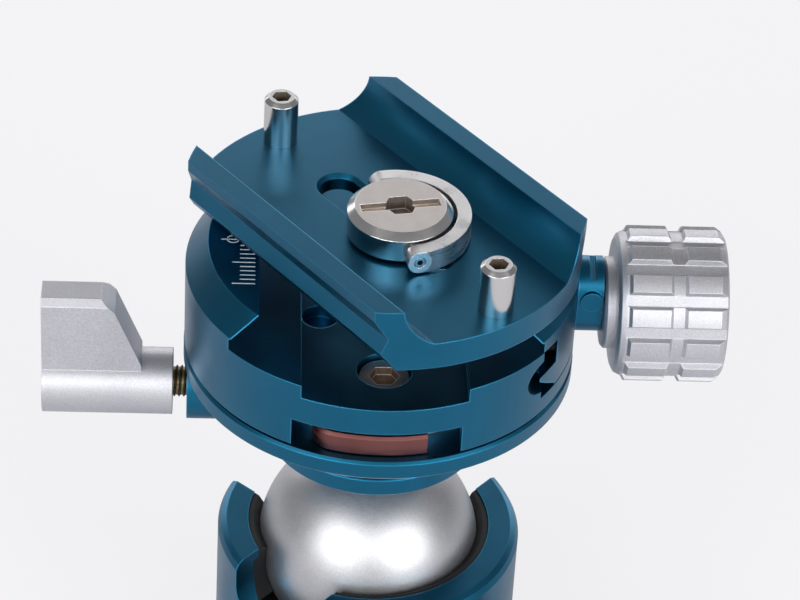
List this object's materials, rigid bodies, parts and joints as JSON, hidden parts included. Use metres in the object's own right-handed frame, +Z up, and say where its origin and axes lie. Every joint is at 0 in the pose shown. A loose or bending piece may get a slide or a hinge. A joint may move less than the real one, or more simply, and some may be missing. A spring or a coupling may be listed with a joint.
{
  "type": "tripod ball head",
  "caption": "Low tripod ball head with a ball in a notched housing, a panning round quick-release clamp, knobs to lock them, and a dovetail camera plate lying on its jaws.",
  "frame": {"origin": "centre of the flat mounting face that meets the tripod", "axes": "+Z up out of the tripod, +X towards the quick-release clamp's knob with the head at rest"},
  "size_m": [0.0986, 0.0688, 0.106],
  "materials": {
    "teal_anodised": "teal anodised, satin",
    "silver_blasted": "bead-blasted, clear anodised",
    "graphite_anodised": "dark grey anodised, satin",
    "polished_steel": "polished",
    "screw_steel": "zinc plated",
    "brass": "turned",
    "copper_alloy": "turned",
    "black_polymer": "moulded",
    "white_polymer": "PTFE sheet",
    "black_rubber": "moulded",
    "ball_anodised": "hard anodised, polished",
    "spring_steel": "wire"
  },
  "bodies": {
    "base": {"base_plate": "teal_anodised", "tripod_insert": "screw_steel", "base_grip_pad": "black_rubber", "base_pan_washer": "white_polymer"},
    "housing_group": {"housing": "teal_anodised", "housing_plug": "silver_blasted", "ball_seat": "black_polymer", "seat_support_ring": "black_rubber", "ball_liner": "black_polymer"},
    "ball_lock_knob": {"lock_knob": "silver_blasted", "lock_screw": "screw_steel", "lock_knob_washer": "silver_blasted", "lock_knob_screw": "screw_steel"},
    "ball_lock_plunger": {"lock_plunger": "brass"},
    "base_pan_lock": {"base_lock_knob": "silver_blasted", "base_lock_stud": "screw_steel", "base_lock_tip": "brass"},
    "ball_group": {"ball": "ball_anodised", "stem_collar": "teal_anodised", "stem_bolt": "screw_steel", "pan_base": "teal_anodised"},
    "top_pan_lock": {"pan_lock_lever": "silver_blasted", "pan_lock_stud": "brass", "pan_lock_tip": "brass"},
    "clamp_group": {"clamp_body": "teal_anodised", "floor_screws": "screw_steel", "pan_spindle": "silver_blasted", "pan_washer": "white_polymer", "pan_drag_shoe": "copper_alloy", "jaw_springs": "spring_steel"},
    "jaw_group": {"moving_jaw": "teal_anodised", "guide_pins": "polished_steel"},
    "clamp_knob_group": {"clamp_knob": "silver_blasted", "draw_screw": "screw_steel", "clamp_knob_washer": "silver_blasted", "clamp_knob_screw": "screw_steel"},
    "plate_group": {"camera_plate": "teal_anodised", "stop_posts": "polished_steel"},
    "screw_carriage": {"screw_clip": "spring_steel"},
    "camera_screw_group": {"camera_screw": "polished_steel", "handle_pins": "polished_steel"},
    "screw_handle_group": {"screw_handle": "polished_steel"}
  },
  "joints": [
    {"name": "base_pan", "type": "hinge", "parent": "base", "child": "housing_group", "pos_m": [0, 0, 0.0093], "axis": [0, 0, 1], "continuous": true},
    {"name": "ball_tilt", "type": "hinge", "parent": "housing_group", "child": "ball_group", "pos_m": [0, 0, 0.0383], "axis": [0.7431, -0.6691, 0], "range_deg": [-75, 75]},
    {"name": "ball_lock", "type": "hinge", "parent": "housing_group", "child": "ball_lock_knob", "pos_m": [0.02229, -0.02007, 0.022], "axis": [-0.7431, 0.6691, 0], "range_deg": [-5.1, 90.1]},
    {"name": "ball_lock_press", "type": "slide", "parent": "housing_group", "child": "ball_lock_plunger", "axis": [-0.7431, 0.6691, 0], "range_m": [-0.000017, 0.0003125]},
    {"name": "base_pan_lock_turn", "type": "hinge", "parent": "housing_group", "child": "base_pan_lock", "pos_m": [-0.01606, -0.01784, 0.0125], "axis": [0.6691, 0.7431, 0], "range_deg": [-45, 180]},
    {"name": "top_pan", "type": "hinge", "parent": "ball_group", "child": "clamp_group", "pos_m": [0, 0, 0.0766], "axis": [0, 0, 1], "range_deg": [-135, 135]},
    {"name": "top_pan_lock_turn", "type": "hinge", "parent": "ball_group", "child": "top_pan_lock", "pos_m": [-0.03, 0, 0.0679], "axis": [1, 0, 0], "range_deg": [-90, 90]},
    {"name": "clamp_knob_turn", "type": "hinge", "parent": "jaw_group", "child": "clamp_knob_group", "pos_m": [0.035, 0, 0.0843], "axis": [-1, 0, 0], "range_deg": [-721, 433]},
    {"name": "jaw_slide", "type": "slide", "parent": "clamp_group", "child": "jaw_group", "axis": [-1, 0, 0], "range_m": [-0.002, 0.0012], "deforming": ["jaw_springs"]},
    {"name": "plate_lift", "type": "slide", "parent": "clamp_group", "child": "plate_group", "axis": [0, 0, 1], "range_m": [0, 0.03]},
    {"name": "camera_screw_slide", "type": "slide", "parent": "plate_group", "child": "screw_carriage", "axis": [0.6018, -0.7986, 0], "range_m": [-0.0138, 0.0072]},
    {"name": "camera_screw_turn", "type": "hinge", "parent": "screw_carriage", "child": "camera_screw_group", "pos_m": [0.00189, -0.00329, 0.098], "axis": [0, 0, 1], "continuous": true},
    {"name": "screw_handle_fold", "type": "hinge", "parent": "camera_screw_group", "child": "screw_handle_group", "pos_m": [0.00189, -0.00329, 0.10031], "axis": [0.2588, -0.9659, 0], "range_deg": [0, 90]}
  ],
  "couplings": [
    {"joint": "ball_lock", "follows": "ball_lock_press", "rad_per_m": 5026.5},
    {"joint": "clamp_knob_turn", "follows": "jaw_slide", "rad_per_m": 6283.2}
  ]
}
